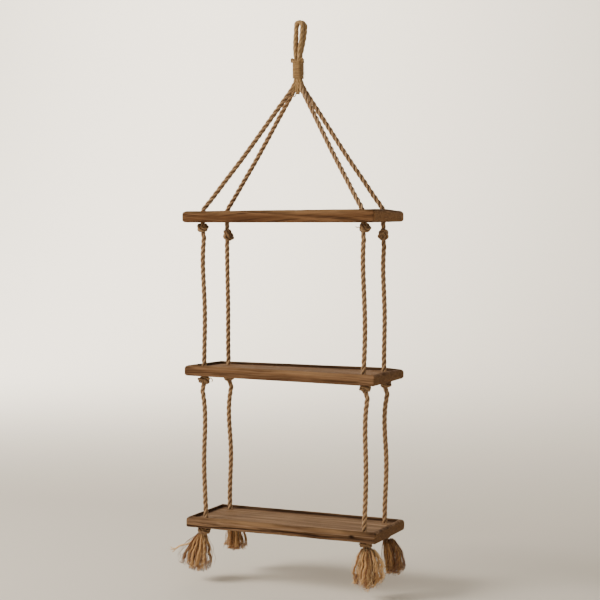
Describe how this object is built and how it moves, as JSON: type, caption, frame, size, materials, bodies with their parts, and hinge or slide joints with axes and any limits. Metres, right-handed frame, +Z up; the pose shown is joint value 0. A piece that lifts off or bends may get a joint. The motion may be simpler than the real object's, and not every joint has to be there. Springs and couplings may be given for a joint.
{
  "type": "rope wall shelf",
  "caption": "Hanging wall shelf: wooden tray boards held one under another by knotted twisted ropes that meet in a bound hanging loop and end in frayed tassels.",
  "frame": {"origin": "top of the eye of the hanging loop, where a hook carries the shelf", "axes": "+X to the right seen from the front, +Y towards the wall, +Z up"},
  "size_m": [0.5394, 0.178, 1.2994],
  "materials": {
    "wood": "dark stained, brushed and worn",
    "rope": "natural jute, three-strand, hairy",
    "twine": "natural jute twine, close wound",
    "tassel": "unlaid jute yarns"
  },
  "bodies": {
    "root": {"board_top": "wood", "board_middle": "wood", "board_bottom": "wood", "rope_loop_front": "rope", "rope_loop_rear": "rope", "binding": "twine", "rope_slant_front_left": "rope", "rope_entry_front_left": "rope", "rope_slant_front_right": "rope", "rope_entry_front_right": "rope", "rope_slant_rear_left": "rope", "rope_entry_rear_left": "rope", "rope_slant_rear_right": "rope", "rope_entry_rear_right": "rope", "rope_run_middle_front_left": "rope", "rope_run_middle_front_right": "rope", "rope_run_middle_rear_left": "rope", "rope_run_middle_rear_right": "rope", "rope_run_bottom_front_left": "rope", "rope_run_bottom_front_right": "rope", "rope_run_bottom_rear_left": "rope", "rope_run_bottom_rear_right": "rope", "knot_top_front_left": "rope", "knot_top_front_right": "rope", "knot_top_rear_left": "rope", "knot_top_rear_right": "rope", "knot_middle_front_left": "rope", "knot_middle_front_right": "rope", "knot_middle_rear_left": "rope", "knot_middle_rear_right": "rope", "knot_bottom_front_left": "rope", "knot_bottom_front_right": "rope", "knot_bottom_rear_left": "rope", "knot_bottom_rear_right": "rope", "tassel_front_left": "tassel", "stray_yarn_front_left": "tassel", "tassel_front_right": "tassel", "tassel_rear_left": "tassel", "tassel_rear_right": "tassel"}
  },
  "joints": []
}
